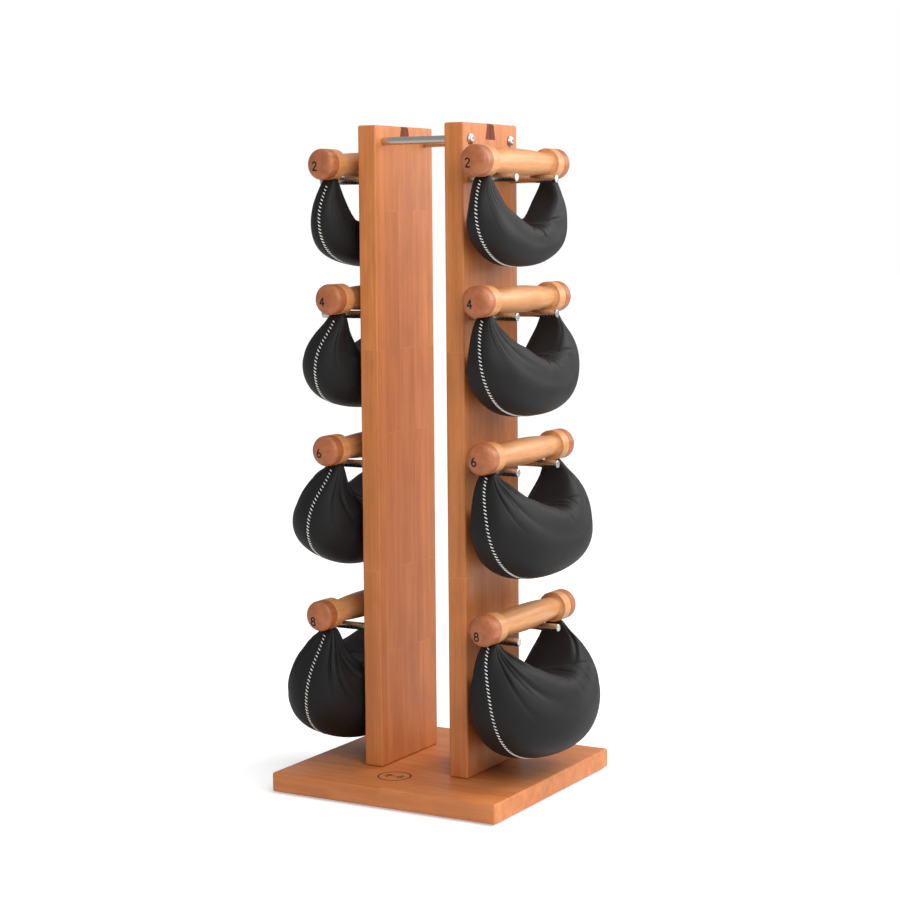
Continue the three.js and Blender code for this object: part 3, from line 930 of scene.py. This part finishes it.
# ---- Hand weights ----------------------------------------------------------------------------------------
@dataclass
class Handle:
    """A turned handle: a barrel-shaped grip with a collar at each end, and a domed cap outside each."""

    cap_start: float = 114.0
    groove: float = 0.45
    groove_depth: float = 4.0
    groove_corner: float = 0.7
    rim_corner: float = 1.1
    collar_start: float = 93.0
    cove: float = 5.5
    cove_top: float = 0.9
    grip_end_radius: float = 16.0
    grip_middle_radius: float = 20.4
    dome: float = 9.0
    dome_power: float = 0.6
    sides: int = 72
    mark_width: float = 2.5
    mark_shift: Numbers = (-7.5, -3.0)
    eight_drop: float = 5.0

    def grip_profile(self, radius: float) -> list[Numbers]:
        """The grip and collars, from the rear to the front.

        The barrel's radius is that of its ends plus the rest times the cosine of the way out to its end. The
        cove is a quarter circle that leaves the barrel level and meets the collar's rim upright.

        Args:
            radius: the collars' radius.
        Returns:
            Points of (along, radius), the first and the last on the axis.
        """
        barrel_end = self.collar_start - self.cove
        y = np.linspace(0, barrel_end, 14)
        swell = self.grip_middle_radius - self.grip_end_radius
        barrel = np.stack([y, self.grip_end_radius + swell * np.cos(np.pi / 2 * y / barrel_end)], axis=-1)
        share = np.sin(np.linspace(0, np.pi / 2, 10))[1:]
        rise = radius - self.cove_top - self.grip_end_radius
        cove = np.stack([barrel_end + self.cove * share,
                         self.grip_end_radius + rise * (1 - np.sqrt(1 - share ** 2))], axis=-1)
        end = self.cap_start - self.groove
        collar = rounded([(self.collar_start, radius - 1.2), (self.collar_start, radius), (end, radius),
                          (end, radius - self.groove_depth)], [0, self.rim_corner, self.groove_corner, 0])
        half = [*map(tuple, barrel), *map(tuple, cove), *collar[1:]]
        rear = [(-a, r) for a, r in reversed(half[1:])]
        return [(-end, 0), *rear, *half, (end, 0)]

    def dome_at(self, share: Array, half: float, radius: float) -> tuple[Array, Array]:
        """The cap's dome.

        Its radius is the cap's times the cosine of an angle raised to a power, and it rises by the dome's
        height times the sine of that angle.

        Args:
            share: the angle as a share of a right angle.
            half: half the handle's length.
            radius: the cap's radius.
        Returns:
            The distance along the handle and the radius.
        """
        angle = share * np.pi / 2
        return half - self.dome + self.dome * np.sin(angle), radius * np.cos(angle) ** self.dome_power

    def cap_profile(self, half: float, radius: float) -> list[Numbers]:
        """A cap from its groove to the top of its dome."""
        start, deep = self.cap_start + self.groove, self.groove_depth
        foot = rounded([(start, radius - deep), (start, radius), (start + deep, radius)],
                       [0, self.groove_corner, 0])
        along, across = self.dome_at(1 - np.linspace(1, 0.02, 22) ** 1.6, half, radius)
        return [(start, 0), *foot, *zip(along, across), (half, 0)]

    def build(self, label: str, weight: Weight) -> None:
        """Builds the grip, both caps and the burnt numeral of one handle.

        Args:
            label: the side and the weight, as in the node's name.
            weight: what the numeral says.
        """
        node, body = f"handle_{label}", f"bell_{label}"
        place = Place.of(node)
        half, radius = place.size[1] / 2, place.size[2] / 2
        grip = turned(f"{node}_grip", self.grip_profile(radius), place.centre, Axis.Y, self.sides)
        caps = [turned(f"{node}_cap_{end.label}", self.cap_profile(half, radius), place.centre, Axis.Y,
                       self.sides, end.value) for end in End]
        for piece in (grip, *caps):
            # The caps take the cherry whose tones are darkened as painted shade.
            (HANDLE_CHERRY if piece is grip else CAP_CHERRY_WITH_PAINTED_SHADE).dress(piece, "handle_wood")
            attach(piece, body)
            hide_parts(node)

        shift = np.array(self.mark_shift) - [0, self.eight_drop if weight is Weight.EIGHT else 0]

        def lay(flat: Array) -> tuple[Array, Array]:
            """Lays a drawing on the front dome. A point keeps its X and Z, and takes the dome's Y there."""
            x, z = (flat + shift).T
            away = np.hypot(x, z)
            angle = np.arccos(np.clip(away / radius, 0, 1) ** (1 / self.dome_power))
            y = -(half - self.dome + self.dome * np.sin(angle))
            slope = self.dome_slope(away, radius)
            normal = unit(np.column_stack([x * slope / np.maximum(away, 0.01), -np.ones_like(x),
                                           z * slope / np.maximum(away, 0.01)]))
            return np.column_stack([x, y, z]) + place.centre, normal

        mark = BurntMark(self.mark_width).make(f"{node}_numeral", numeral(weight), lay)
        BURNT_WOOD.dress(mark)
        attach(mark, body)
        log.info("%s: grip, two caps and a numeral", node)

    def dome_slope(self, away: Array, radius: float) -> Array:
        """How steeply the dome falls away at a distance from its middle, by a small step of that distance."""
        step = 0.05
        heights = [self.dome * np.sin(np.arccos(np.clip((away + d) / radius, 0, 1) ** (1 / self.dome_power)))
                   for d in (-step, step)]
        return (heights[0] - heights[1]) / (2 * step)


@dataclass(frozen=True)
class PouchSize:
    """One pouch's own sizes in millimetres.

    They are how deep it hangs, how far it bulges past its necks, how deep the hand gap is, half its
    thickness, how far its middle rests from its board, and how deep its pleats are.
    """

    depth: float
    bulge: float
    gap: float
    half: float
    rest: float
    pleat: float


POUCH_SIZES = {
    Weight.TWO: PouchSize(156, 37, 97, 40, 47, 1.2),
    Weight.FOUR: PouchSize(177, 43, 92, 55, 55, 2.2),
    Weight.SIX: PouchSize(193, 50, 89, 66, 66, 5.6),
    Weight.EIGHT: PouchSize(214, 51, 90, 77, 69, 8.0),
}


@dataclass(frozen=True)
class Pleats:
    """The pleats that fan out of one neck on one side of the bag, and the trough along its inner edge there.

    Places and widths round the bag are in radians of round, and along it in radians of turn from the neck.
    A pair is the range that each pleat's own value is drawn from.
    """

    places: Numbers = (0.9, 1.3, 1.65, 2.0, 2.35)
    scatter: float = 0.08
    bend: float = 0.22
    bend_scatter: float = 0.12
    reach: Numbers = (0.4, 0.85)
    share: Numbers = (0.5, 1.0)
    width: float = 0.05
    widening: float = 0.032
    sharpness: float = 1.2
    ridge: float = 0.16
    ridge_place: float = 1.9
    ridge_width: float = 0.8
    fade: float = 2.4
    start: float = 0.08
    neck_share: float = 0.25
    opened_at: float = 0.4
    trough_depth: float = 0.6
    trough_width: float = 0.5
    trough_reach: float = 0.8

    def heights(self, random: np.random.Generator, depth: float, from_neck: Array, signed: Array) -> Array:
        """How far the leather stands out, in millimetres, which is mostly less than nothing.

        A pleat is a sharp valley along one round, beside a soft low ridge. It deepens just below the neck,
        bends towards the inner edge, and dies away as the bag fills. The trough is a bell curve round the
        inner edge, which dies away with the cube of the way from the neck.

        Args:
            random: gives each pleat its own place, bend, length and depth.
            depth: the deepest pleat's depth.
            from_neck: how far each row lies from the neck.
            signed: the rounds from the seam, positive on this side.
        Returns:
            Heights of shape (rows, columns).
        """
        height = np.zeros(np.broadcast_shapes(from_neck.shape, signed.shape))
        opened = self.neck_share + (1 - self.neck_share) * np.clip(from_neck / self.opened_at, 0, 1)
        for place in self.places:
            where = place + random.normal(0, self.scatter)
            where = where + (self.bend + random.normal(0, self.bend_scatter)) * from_neck
            reach = random.uniform(*self.reach)
            deep = depth * random.uniform(*self.share)
            across = np.abs(signed - where) / (self.width + self.widening * from_neck)
            ridge = self.ridge * bell((across - self.ridge_place) / self.ridge_width)
            fold = ridge - np.exp(-(across ** self.sharpness))
            faded = np.exp(-((from_neck / reach) ** self.fade)) * (1 - np.exp(-from_neck / self.start))
            height += deep * opened * faded * fold
        from_inner = math.pi - np.abs(signed)
        trough = bell(from_inner / self.trough_width) * np.exp(-((from_neck / self.trough_reach) ** 3))
        return height - self.trough_depth * opened * trough


@dataclass(frozen=True)
class Creases:
    """Fine creases over the rear of the saddle, the inner edge, where the bag is bent hardest.

    A line is a crease's place, in radians of turn, and its slope away from the inner edge. A pair is the
    range that each crease's own value is drawn from: widths and depths in millimetres, the rest in radians
    of round from the inner edge.
    """

    lines: tuple[Numbers, ...] = ((1.3, 0.34), (1.52, -0.2), (1.68, -0.02), (1.77, 0.1), (1.85, -0.08),
                                  (1.92, 0.05), (1.99, 0.14), (2.06, -0.05))
    scatter: float = 0.015
    middle: Numbers = (0.4, 0.8)
    reach: Numbers = (0.25, 0.45)
    width: Numbers = (1.6, 2.8)
    depth: Numbers = (2.2, 3.8)
    sharpness: float = 1.3

    def depths(self, random: np.random.Generator, turn: Array, from_inner: Array, scale: float) -> Array:
        """How deep the creases are: narrow valleys whose depth is a bell curve along their length.

        Args:
            random: gives each crease its own place, length, width and depth.
            turn: the turns, of shape (rows, 1).
            from_inner: the rounds from the inner edge, of shape (1, columns).
            scale: millimetres to the radian of turn.
        Returns:
            Depths of shape (rows, columns).
        """
        total = np.zeros(np.broadcast_shapes(turn.shape, from_inner.shape))
        for place, slope in self.lines:
            where = place + random.normal(0, self.scatter)
            middle, reach = random.uniform(*self.middle), random.uniform(*self.reach)
            away = np.abs(turn - where - slope * from_inner) * scale / random.uniform(*self.width)
            deep = random.uniform(*self.depth)
            total += deep * np.exp(-(away ** self.sharpness)) * bell((from_inner - middle) / reach)
        return total


@dataclass(frozen=True)
class NeckSteps:
    """The steps where each neck rises from the belly: sharp, and deep at the rear one.

    A step is its place, in radians of turn, and its depth. The belly swells before it, and beyond it the
    leather comes back to the smooth bag. Lengths are in millimetres.
    """

    steps: tuple[Numbers, ...] = ((1.98, 7.0), (0.95, 1.2))
    bend: float = 0.28
    bend_rate: float = 1.8
    window: float = 1.15
    edge: float = 1.6
    recovery: float = 34.0
    swell: float = 0.35
    swell_before: float = 9.0
    swell_width: float = 8.0

    def carve(self, height: Array, turn: Array, from_inner: Array, scale: float) -> Array:
        """Takes the steps out of the leather and raises the swells before them.

        A step falls by one over one plus e to the power of minus the rise over the edge's width, where the
        rise is how far past the step a point lies. Its line bends away from the neck by one less a cosine
        of the round, and it ends where the window does, a bell curve of the fourth power.

        Args:
            height: how far the leather stands out so far.
            turn: the turns, of shape (rows, 1).
            from_inner: the rounds from the inner edge, of shape (1, columns).
            scale: millimetres to the radian of turn.
        Returns:
            The heights with the steps.
        """
        window = np.exp(-((from_inner / self.window) ** 4))
        bend = self.bend * (1 - np.cos(from_inner * self.bend_rate))
        for place, depth in self.steps:
            rear = 1 if place > math.pi / 2 else -1
            rise = (rear * (turn - place) - bend) * scale
            step = 1 / (1 + np.exp(-rise / self.edge))
            swelling = bell((rise + self.swell_before) / self.swell_width)
            height = height - window * depth * step * bell(np.clip(rise, 0, None) / self.recovery)
            height = height + window * depth * self.swell * swelling
        return height


@dataclass
class Pouch:
    """A crescent bag of leather full of shot, gathered into its two necks and sewn along its outer edge.

    A point on it has a turn, from 0 at the front neck to pi at the rear one, and a round, the angle about the
    bag's middle line from the seam. All its sums are in the handle's frame, with +X away from the board.
    """

    size: PouchSize
    stand_off: float
    seed: int
    neck_outer: float = 111.0
    neck_inner: float = 98.0
    neck_half: float = 10.5
    neck_top: float = -24.0
    shoulder: float = 0.91
    belly: float = 1.1
    fold: float = 1.2
    notch: float = 1.25
    squareness: float = 2.6
    width: float = 0.97
    section: float = 0.85
    resting_depth: float = 0.55
    handle_radius: float = 23.9
    along: int = 200
    around: int = 176
    crowding: float = 0.12
    hug_reach: float = 0.12
    lean_reach: float = 0.25
    pressed_from: float = 0.3
    board_gap: float = 1.0
    fold_gap: float = 0.6
    softness: float = 2.0
    pleats: Pleats = Pleats()
    creases: Creases = Creases()
    neck_steps: NeckSteps = NeckSteps()
    waves: int = 5
    wave_height: float = 0.5
    waves_along: Numbers = (1.5, 5.0)
    waves_around: tuple[int, int] = (1, 4)
    calm: float = 0.6
    calm_reach: float = 0.03
    seam_depth: float = 1.3
    seam_width: float = 3.5
    stitch_pitch: float = 5.6
    stitch_half: float = 2.9
    stitch_radius: float = 0.85
    stitch_taper: float = 0.55
    stitch_slant: float = 34.0
    stitch_lift: float = 1.0
    stitch_sink: float = 0.35
    stitch_steps: int = 5
    stitch_sides: int = 6

    @property
    def lean(self) -> float:
        """The bag rests on its board, so it leans out by what the stand-off lacks of its resting place."""
        return math.atan((self.size.rest - self.stand_off) / (self.resting_depth * self.size.depth))

    def rounds(self) -> Array:
        """Angles round the bag, closer together at the seam and at the inner edge, where creases are."""
        even = np.arange(self.around) * TURN / self.around
        return even - self.crowding * np.sin(2 * even)

    def surface(self, turn: Array, around: Array) -> Array:
        """The smooth bag, before any fold.

        The outer edge is a deep U that bulges past the necks, and the inner edge is the hand gap's V. The
        section between them is near an ellipse on its outer half and a superellipse, flatter and squarer, on
        its inner one. Its width grows from the neck's to the bag's with the sine of the turn. The bag is then
        leaned out about the handle. Where it would pass the board it is pressed flat: a distance from the
        board becomes half the sum of itself and the root of its square plus the square of twice the softness.

        Args:
            turn: the turns, of shape (rows, 1).
            around: the rounds, of shape (1, columns) or (rows, columns).
        Returns:
            Points of shape (rows, columns, 3).
        """
        size = self.size
        sine, cosine = np.clip(np.sin(turn), 0, None), np.cos(turn)
        reach = self.neck_outer * np.sign(cosine) * np.abs(cosine) ** self.shoulder
        outer = np.stack([-(reach + size.bulge * np.sin(2 * turn)),
                          self.neck_top - (size.depth + self.neck_top) * sine ** self.belly], axis=-1)
        inner = np.stack([-self.neck_inner * np.sign(cosine) * np.abs(cosine) ** self.notch,
                          self.neck_top - (size.gap + self.neck_top) * sine ** self.fold], axis=-1)
        outwards = outer - inner
        half_height = np.linalg.norm(outwards, axis=-1) / 2
        up, side = np.cos(around), np.sin(around)
        inward = np.clip(-2 * up, 0, 1)
        power = 2 + self.squareness * inward ** 2 * (3 - 2 * inward)
        square = (np.abs(up) ** power + np.abs(side) ** power) ** (-1 / power)
        place = (outer + inner) / 2 + unit(outwards) * (half_height * up * square)[..., None]
        across = self.half_width(sine) * square * np.sign(side) * np.abs(side) ** self.section
        # The necks rise to hug the underside of the handle's collars.
        under = np.clip(across, -self.neck_half, self.neck_half)
        hug = self.handle_radius - np.sqrt(self.handle_radius ** 2 - under ** 2)
        height = place[..., 1] + hug * bell(sine / self.hug_reach)
        lean = self.lean * (1 - bell(sine / self.lean_reach))
        x = across * np.cos(lean) - height * np.sin(lean)
        z = height * np.cos(lean) + across * np.sin(lean)
        free = x + self.stand_off - self.board_gap
        pressed = (free + np.sqrt(free ** 2 + 4 * self.softness ** 2)) / 2 - self.stand_off + self.board_gap
        x = np.where(sine > self.pressed_from, pressed, x)
        return np.stack([x, np.broadcast_to(place[..., 0], x.shape), z], axis=-1)

    def half_width(self, sine: Array) -> Array:
        """Half the bag's thickness across, which grows from the neck's with the sine of the turn."""
        return self.neck_half + (self.size.half - self.neck_half) * sine ** self.width

    def folds(self, turn: Array, around: Array) -> Array:
        """How far the leather stands out from the smooth bag, in millimetres.

        Pleats fan out of each neck, creases and steps cross the saddle, and slow waves, each the product of
        a sine along the bag and a cosine round it, show how the shot has settled. The seam lies in a shallow
        groove whose section is a bell curve. Right at the necks all of it is calmer.

        Args:
            turn: the turns, of shape (rows, 1).
            around: the rounds, of shape (1, columns).
        Returns:
            Heights of shape (rows, columns).
        """
        random = np.random.default_rng(self.seed)
        signed = (around + math.pi) % TURN - math.pi
        from_inner = math.pi - np.abs(signed)
        height = -self.creases.depths(random, turn, from_inner, self.neck_inner)
        height = self.neck_steps.carve(height, turn, from_inner, self.neck_inner)
        for from_neck in (turn, math.pi - turn):
            for hand in (-1, 1):
                height = height + self.pleats.heights(random, self.size.pleat, from_neck, hand * signed)
        for _ in range(self.waves):
            along, across = random.uniform(*self.waves_along), random.integers(*self.waves_around)
            start, side = random.uniform(0, TURN, 2)
            height += self.wave_height * np.sin(along * turn * 2 + start) * np.cos(across * signed + side)
        half_width = self.half_width(np.clip(np.sin(turn), 0, None))
        from_seam = np.abs(2 * np.sin(signed / 2)) ** self.section * half_width
        height -= self.seam_depth * bell(from_seam / self.seam_width)
        return height * (1 - self.calm * bell(np.minimum(turn, math.pi - turn) / self.calm_reach))

    def grid(self, turn: Array, around: Array) -> Array:
        """The folded bag: the smooth one moved along its normals by the folds.

        The normal is the cross product of the steps round the bag and along it. Where the bag leans on its
        board, no fold comes nearer to it than the fold gap.

        Args:
            turn: the turns, of shape (rows, 1).
            around: the rounds of the whole ring, of shape (1, columns).
        Returns:
            Points of shape (rows, columns, 3).
        """
        points = self.surface(turn, around)
        ahead = np.gradient(points, axis=0)
        beside = np.roll(points, -1, axis=1) - np.roll(points, 1, axis=1)
        normal = unit(np.cross(beside, ahead) + 1e-9)
        middle = points.mean(axis=1, keepdims=True)
        if np.einsum("ijk,ijk->ij", normal, points - middle).mean() < 0:
            normal = -normal
        folded = points + normal * self.folds(turn, around)[..., None]
        clear = np.maximum(folded[..., 0], -self.stand_off + self.fold_gap)
        folded[..., 0] = np.where(np.sin(turn) > self.pressed_from, clear, folded[..., 0])
        return folded

    def build(self, label: str, side: Side) -> None:
        """Builds the bag and the stitches of its seam.

        Args:
            label: the side and the weight, as in the node's name.
            side: the board that it hangs on.
        """
        centre = Place.of(f"handle_{label}").centre
        facing = np.array([side.value, side.value, 1.0])
        turn = np.linspace(0, math.pi, self.along)[:, None]
        around = self.rounds()[None]
        points = self.grid(turn, around)
        bag = Skin().add_tube(points * facing + centre).make(f"pouch_{label}_bag", 180)
        POUCH_NAPPA.dress(bag, "pouch_leather")
        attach(bag, f"bell_{label}_pouch")
        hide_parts(f"pouch_{label}", f"shot_{label}")
        seam = self.stitches(points) * facing + centre
        thread = Skin().add_tube(seam).make(f"pouch_{label}_stitches", 180)
        SEAM_THREAD.dress(thread)
        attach(thread, f"bell_{label}_pouch")
        log.info("%s: bag of %d faces, %d stitches", label, len(bag.data.polygons), len(seam))

    def stitches(self, points: Array) -> Array:
        """The overcast stitches along the seam.

        Each is a short tube that crosses the seam at a slant. Its height above the leather is the lift times
        one less the square of the way out to its end, so both of its ends dip into the leather.

        Args:
            points: the folded bag's points.
        Returns:
            Rings of shape (stitches, steps along a stitch, sides of a stitch, 3).
        """
        seam = points[:, 0]
        ahead = unit(np.gradient(seam, axis=0))
        side = unit(points[:, 1] - points[:, -1])
        out = unit(np.cross(side, ahead))
        out *= np.where(np.einsum("ij,ij->i", out, seam - points.mean(axis=1)) < 0, -1, 1)[:, None]
        run = np.concatenate([[0], np.cumsum(np.linalg.norm(np.diff(seam, axis=0), axis=1))])
        where = np.arange(self.stitch_pitch, run[-1] - self.stitch_pitch, self.stitch_pitch)

        def at(values: Array) -> Array:
            """The values at each stitch's place along the seam."""
            return np.stack([np.interp(where, run, column) for column in values.T], axis=-1)

        middle, ahead, side, out = at(seam), unit(at(ahead)), unit(at(side)), unit(at(out))
        slant = math.radians(self.stitch_slant)
        direction = side * math.cos(slant) + ahead * math.sin(slant)
        beside = np.cross(out, direction)
        reach = np.linspace(-1, 1, self.stitch_steps)
        lift = self.seam_depth * 0.3 + self.stitch_lift * (1 - reach ** 2) - self.stitch_sink
        thickness = self.stitch_radius * np.sqrt(1 - self.stitch_taper * reach ** 2)
        angle = np.arange(self.stitch_sides) * TURN / self.stitch_sides
        spine = (middle[:, None] + direction[:, None] * reach[:, None] * self.stitch_half
                 + out[:, None] * lift[:, None])
        ring = (beside[:, None, None] * np.cos(angle)[:, None] + out[:, None, None] * np.sin(angle)[:, None])
        return spine[:, :, None] + ring * thickness[:, None, None]


# ---- The studio ------------------------------------------------------------------------------------------
@dataclass(frozen=True)
class SweepPaper(Finish):
    """Matt white paper with a glow that only the camera sees, so that it looks white up to its shadows."""

    roughness: float = 0.9
    colour: str = "#ececec"
    glow: float = 0.47

    def surface(self, nodes: Nodes) -> dict:
        """Lets only the camera see the glow, so that it lights nothing else."""
        seen = nodes.add("LightPath").outputs["Is Camera Ray"]
        glow = nodes.add("Math", {0: seen, 1: self.glow}, operation="MULTIPLY")
        return {"Base Color": linear(self.colour), "Emission Color": linear("#ffffff"),
                "Emission Strength": glow.outputs[0]}


@dataclass
class Studio:
    """A white paper sweep in a pale room, lit by two softboxes on the right and softly from above."""

    location: Numbers = (1.6313, -2.7985, 0.8694)
    azimuth: float = 29.9754
    elevation: float = 5.3043
    roll: float = 0.4824
    lens: float = 84.18
    shift_y: float = -0.0333
    sensor: float = 36.0
    far: float = 100.0
    floor_half: float = 30.0
    room: float = 0.34
    gloss: float = 0.42
    sky_from: Numbers = (0.4, 0.2, 0.89)
    sky_strength: float = 1.3
    sky_degrees: float = 50.0
    lamp_size: float = 1.7
    lamp_target: Numbers = (0.0, 0.0, 0.65)
    front_place: Numbers = (1.7, -1.45, 1.75)
    front_watts: float = 38.0
    rear_place: Numbers = (1.65, 1.5, 1.7)
    rear_watts: float = 42.0

    def build(self) -> None:
        """Sets the view transform and makes the camera, the floor, the lights and the room's light."""
        bpy.context.scene.view_settings.view_transform = "Standard"
        self.make_camera()
        self.make_floor()
        sky = self.make_light("broad light", "SUN", Vector(self.sky_from), Vector((0, 0, 0)))
        sky.energy, sky.angle = self.sky_strength, math.radians(self.sky_degrees)
        for name, place, watts in (("front softbox", self.front_place, self.front_watts),
                                   ("rear softbox", self.rear_place, self.rear_watts)):
            lamp = self.make_light(name, "AREA", Vector(place), Vector(self.lamp_target))
            lamp.energy, lamp.size = watts, self.lamp_size
        self.make_world()

    def make_camera(self) -> None:
        """Makes the camera from its bearing, its height above the horizon and its small roll."""
        a, e, r = (math.radians(x) for x in (self.azimuth, self.elevation, self.roll))
        back = Vector((math.sin(a) * math.cos(e), -math.cos(a) * math.cos(e), math.sin(e)))
        right = Vector((math.cos(a), math.sin(a), 0))
        up = back.cross(right)
        right, up = math.cos(r) * right - math.sin(r) * up, math.sin(r) * right + math.cos(r) * up
        data = bpy.data.cameras.new("camera")
        data.lens, data.sensor_width, data.shift_y = self.lens, self.sensor, self.shift_y
        data.clip_end = self.far
        camera = bpy.data.objects.new("camera", data)
        turn = Matrix((right, up, back)).transposed().to_4x4()
        camera.matrix_world = Matrix.Translation(self.location) @ turn
        bpy.context.scene.collection.objects.link(camera)
        bpy.context.scene.camera = camera

    def make_floor(self) -> None:
        """A wide flat sheet of matt pale paper."""
        h = self.floor_half
        mesh = bpy.data.meshes.new("floor")
        mesh.from_pydata([(-h, -h, 0), (h, -h, 0), (h, h, 0), (-h, h, 0)], [], [(0, 1, 2, 3)])
        floor = bpy.data.objects.new("floor", mesh)
        bpy.context.scene.collection.objects.link(floor)
        SweepPaper("white sweep paper").dress(floor)

    def make_light(self, name: str, kind: str, place: Vector, target: Vector) -> bpy.types.Light:
        """Makes a lamp that looks at a point.

        Args:
            name: the lamp's name.
            kind: Blender's kind of light.
            place: where it stands.
            target: where it looks.
        Returns:
            The lamp's settings.
        """
        data = bpy.data.lights.new(name, kind)
        light = bpy.data.objects.new(name, data)
        aim = (target - place).to_track_quat("-Z", "Y").to_matrix().to_4x4()
        light.matrix_world = Matrix.Translation(place) @ aim
        bpy.context.scene.collection.objects.link(light)
        return data

    def make_world(self) -> None:
        """A room whose walls look white, light the tower weakly, and show a little stronger in its gloss."""
        world = bpy.data.worlds.new("white room")
        bpy.context.scene.world = world
        world.use_nodes = True
        tree = world.node_tree
        tree.nodes.clear()
        path = tree.nodes.new("ShaderNodeLightPath")
        gloss = tree.nodes.new("ShaderNodeMapRange")
        gloss.inputs[3].default_value, gloss.inputs[4].default_value = self.room, self.gloss
        tree.links.new(path.outputs["Is Glossy Ray"], gloss.inputs[0])
        strength = tree.nodes.new("ShaderNodeMapRange")
        strength.inputs[4].default_value = 1.0
        tree.links.new(path.outputs["Is Camera Ray"], strength.inputs[0])
        tree.links.new(gloss.outputs[0], strength.inputs[3])
        background = tree.nodes.new("ShaderNodeBackground")
        tree.links.new(strength.outputs[0], background.inputs["Strength"])
        background.inputs["Color"].default_value = (1, 1, 1, 1)
        output = tree.nodes.new("ShaderNodeOutputWorld")
        tree.links.new(background.outputs[0], output.inputs["Surface"])


def main() -> None:
    """Builds the studio, the stand and the eight hand weights."""
    logging.basicConfig(level=logging.INFO, format="%(name)s: %(message)s")
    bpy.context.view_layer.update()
    Studio().build()
    Stand().build()
    BaseEmblem().build()
    for side in Side:
        face = Place.of(f"upright_{side.label}")
        outer = face.high[0] if side is Side.RIGHT else -face.low[0]
        for weight in Weight:
            label = f"{side.label}_{weight.value}kg"
            Handle().build(label, weight)
            stand_off = side.value * Place.of(f"handle_{label}").centre[0] - outer
            seed = 10 * weight.value + side.value
            Pouch(POUCH_SIZES[weight], stand_off, seed).build(label, side)


if __name__ == "__main__":
    main()
